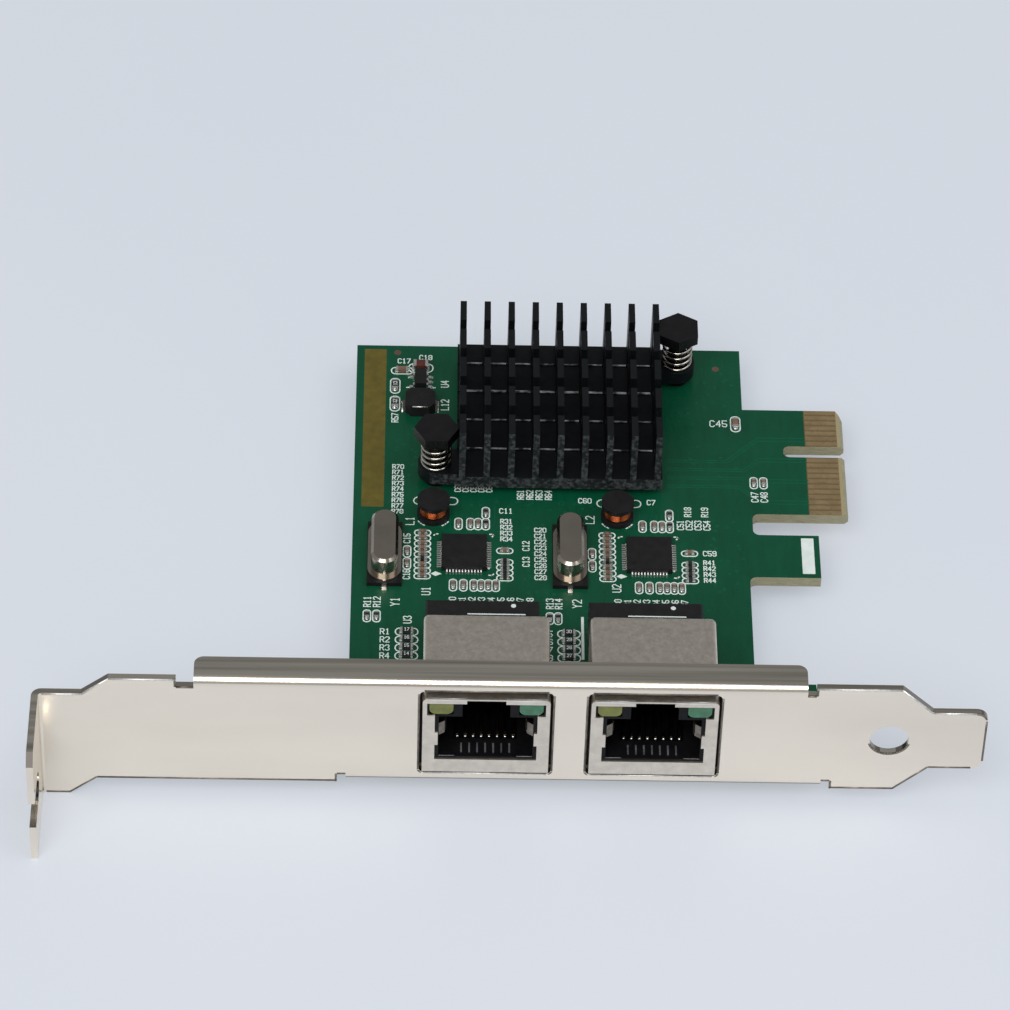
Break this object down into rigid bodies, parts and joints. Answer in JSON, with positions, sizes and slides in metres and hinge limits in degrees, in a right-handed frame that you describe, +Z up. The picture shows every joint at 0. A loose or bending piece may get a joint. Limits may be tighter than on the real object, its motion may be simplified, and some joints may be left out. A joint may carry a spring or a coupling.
{
  "type": "network interface card",
  "caption": "Expansion card with network jacks behind a folded metal bracket, a finned heatsink on spring pins and a keyed edge connector.",
  "frame": {"origin": "middle of the part's footprint, at the height of the bracket's lowest edge", "axes": "+X along the bracket from the screw tab to the tongue, +Y from the bracket back over the board, +Z up out of the component side"},
  "size_m": [0.12, 0.0896, 0.0213],
  "materials": {
    "plated_steel": "bright nickel plate",
    "screw_steel": "zinc plated",
    "solder_mask": "glossy green",
    "gold": "polished",
    "shield_steel": "dull plated",
    "black_moulding": "satin",
    "lamp_yellow": "clear tinted",
    "lamp_green": "clear tinted",
    "chip_moulding": "matt",
    "tin": "satin",
    "crystal_steel": "satin",
    "ferrite": "matt",
    "copper_wire": "enamelled",
    "red_ceramic": "satin",
    "tan_ceramic": "satin",
    "black_film": "satin",
    "thermal_rubber": "matt",
    "black_aluminium": "black anodised",
    "pin_plastic": "satin",
    "spring_steel": "bright"
  },
  "bodies": {
    "root": {"bracket": "plated_steel", "bracket_screw_left": "screw_steel", "bracket_screw_right": "screw_steel", "circuit_board": "solder_mask", "edge_contacts_top": "gold", "edge_contacts_bottom": "gold", "port_1_shield": "shield_steel", "port_1_housing": "black_moulding", "port_1_contacts": "gold", "port_1_lamp_yellow": "lamp_yellow", "port_1_lamp_green": "lamp_green", "transformer_1_body": "chip_moulding", "transformer_1_leads": "tin", "phy_1": "chip_moulding", "phy_1_pads": "tin", "crystal_1_base": "black_moulding", "crystal_1_can": "crystal_steel", "crystal_1_leads": "tin", "inductor_1_core": "ferrite", "inductor_1_winding": "copper_wire", "port_2_shield": "shield_steel", "port_2_housing": "black_moulding", "port_2_contacts": "gold", "port_2_lamp_yellow": "lamp_yellow", "port_2_lamp_green": "lamp_green", "transformer_2_body": "chip_moulding", "transformer_2_leads": "tin", "phy_2": "chip_moulding", "phy_2_pads": "tin", "crystal_2_base": "black_moulding", "crystal_2_can": "crystal_steel", "crystal_2_leads": "tin", "inductor_2_core": "ferrite", "inductor_2_winding": "copper_wire", "power_inductor": "ferrite", "power_inductor_terminals": "tin", "regulator_body": "chip_moulding", "regulator_leads": "tin", "input_capacitor_body": "red_ceramic", "input_capacitor_ends": "tin", "bridge_chip": "chip_moulding", "bridge_chip_pads": "tin", "thermal_pad": "thermal_rubber", "heatsink": "black_aluminium", "push_pin_near": "pin_plastic", "push_pin_far": "pin_plastic", "pin_spring_near": "spring_steel", "pin_spring_far": "spring_steel", "capacitor_bodies": "tan_ceramic", "capacitor_ends": "tin", "resistor_bodies": "black_film", "resistor_ends": "tin"}
  },
  "joints": []
}
